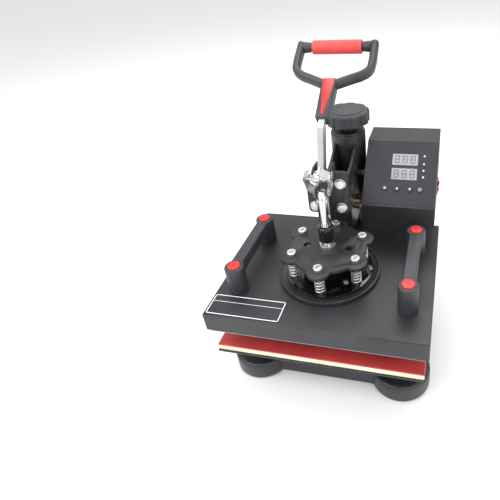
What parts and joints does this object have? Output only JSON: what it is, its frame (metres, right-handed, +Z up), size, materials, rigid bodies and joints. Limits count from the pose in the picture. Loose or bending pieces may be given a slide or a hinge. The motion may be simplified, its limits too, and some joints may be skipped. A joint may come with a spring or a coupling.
{
  "type": "heat press",
  "caption": "Swing-away heat press: a heated platen lowered by a lever handle onto a padded bed, with a control box.",
  "frame": {"origin": "middle of the outline, on the floor under the feet", "axes": "+X right, +Y back towards the column, +Z up, seen by the operator"},
  "size_m": [0.382, 0.409, 0.5662],
  "materials": {
    "aluminium": "ground",
    "black_oxide": "black oxide",
    "black_rubber": "matt",
    "board": "circuit board",
    "brass": "turned",
    "chrome": "polished",
    "cream_foam": "sponge",
    "display": "tinted window",
    "gloss_black": "gloss enamel",
    "lens": "clear lens",
    "moulded_black": "satin moulded plastic",
    "overlay": "printed film",
    "powder_black": "satin powder coat, light grain",
    "red_grip": "soft rubber",
    "red_plastic": "satin moulded plastic",
    "red_silicone": "smooth silicone",
    "steel": "machined",
    "white_plastic": "moulded",
    "wool": "mineral wool blanket",
    "zinc": "bright zinc plate"
  },
  "bodies": {
    "base": {"base_pan": "powder_black", "rubber_feet": "black_rubber", "column_post": "powder_black", "flange_bolts": "zinc", "pedestal": "powder_black", "lower_plate": "black_oxide", "platen_screws": "zinc", "foam_pad": "cream_foam", "silicone_pad": "red_silicone"},
    "lift": {"lift_bush": "black_oxide", "retaining_ring": "black_oxide"},
    "knob": {"pressure_knob": "moulded_black", "pressure_screw": "steel"},
    "arm": {"arm_sleeve": "powder_black", "arm_side_plates": "powder_black", "arm_web": "powder_black", "arm_front_plate": "powder_black", "mount_bracket": "powder_black", "mount_bolts": "zinc", "guide_barrel": "chrome", "lever_pivot_pin": "zinc", "box_shell": "powder_black", "box_back": "powder_black", "mains_inlet": "moulded_black", "lead_gland": "moulded_black", "panel_overlay": "overlay", "display_modules": "display", "control_board": "board", "panel_leds": "lens", "rocker_frame": "moulded_black", "box_bolts": "zinc", "box_spacers": "brass", "power_block": "steel"},
    "handle": {"lever": "zinc", "lever_spacers": "zinc", "handle_frame": "moulded_black", "handle_inlay": "red_plastic", "handle_grip": "red_grip"},
    "link": {"link_strips": "zinc", "link_pins": "zinc"},
    "plunger": {"plunger_rod": "steel", "plunger_collar": "black_oxide", "hub_nuts": "zinc", "star_plate": "powder_black", "press_springs": "zinc"},
    "platen": {"platen_cover": "powder_black", "heat_plate": "aluminium", "insulation": "wool", "spring_dish": "powder_black", "notched_plate": "gloss_black", "shoulder_bolts": "zinc", "carry_handles": "moulded_black", "handle_caps": "red_plastic", "plain_plate": "overlay", "heater_gland": "moulded_black"},
    "rocker": {"rocker": "red_plastic"},
    "button_menu": {"button_menu": "white_plastic"},
    "button_up": {"button_up": "white_plastic"},
    "button_down": {"button_down": "white_plastic"},
    "button_power": {"button_power": "white_plastic"}
  },
  "joints": [
    {"name": "knob_turn", "type": "hinge", "parent": "base", "child": "knob", "pos_m": [0, 0.1475, 0.414], "axis": [0, 0, 1], "range_deg": [-1441, 0]},
    {"name": "arm_lift", "type": "slide", "parent": "base", "child": "lift", "axis": [0, 0, 1], "range_m": [0, 0.008]},
    {"name": "arm_swing", "type": "hinge", "parent": "lift", "child": "arm", "pos_m": [0, 0.1475, 0.28], "axis": [0, 0, 1], "range_deg": [-120, 120]},
    {"name": "handle_swing", "type": "hinge", "parent": "arm", "child": "handle", "pos_m": [0, -0.0505, 0.391], "axis": [1, 0, 0], "range_deg": [0, 112]},
    {"name": "link_swing", "type": "hinge", "parent": "handle", "child": "link", "pos_m": [0, -0.07898, 0.40042], "axis": [1, 0, 0], "range_deg": [-157, 0]},
    {"name": "plunger_slide", "type": "slide", "parent": "arm", "child": "plunger", "axis": [0, 0, 1], "range_m": [-0.0405, 0]},
    {"name": "platen_float", "type": "slide", "parent": "plunger", "child": "platen", "axis": [0, 0, 1], "range_m": [0, 0.005], "stiffness_N_per_m": 40000, "springref_m": -0.002, "deforming": ["press_springs"]},
    {"name": "rocker_tilt", "type": "hinge", "parent": "arm", "child": "rocker", "pos_m": [0.1752, 0.1325, 0.273], "axis": [0, 1, 0], "range_deg": [-9, 9]},
    {"name": "button_menu_press", "type": "slide", "parent": "arm", "child": "button_menu", "axis": [0, 0.6931, -0.7209], "range_m": [0, 0.001], "stiffness_N_per_m": 300, "springref_m": -0.001},
    {"name": "button_up_press", "type": "slide", "parent": "arm", "child": "button_up", "axis": [0, 0.6931, -0.7209], "range_m": [0, 0.001], "stiffness_N_per_m": 300, "springref_m": -0.001},
    {"name": "button_down_press", "type": "slide", "parent": "arm", "child": "button_down", "axis": [0, 0.6931, -0.7209], "range_m": [0, 0.001], "stiffness_N_per_m": 300, "springref_m": -0.001},
    {"name": "button_power_press", "type": "slide", "parent": "arm", "child": "button_power", "axis": [0, 0.6931, -0.7209], "range_m": [0, 0.001], "stiffness_N_per_m": 300, "springref_m": -0.001}
  ],
  "couplings": [
    {"joint": "knob_turn", "follows": "arm_lift", "rad_per_m": -3141.6},
    {"joint": "link_swing", "follows": "handle_swing", "ratio": -1.3902},
    {"joint": "plunger_slide", "follows": "handle_swing", "m_per_rad": -0.020667}
  ]
}
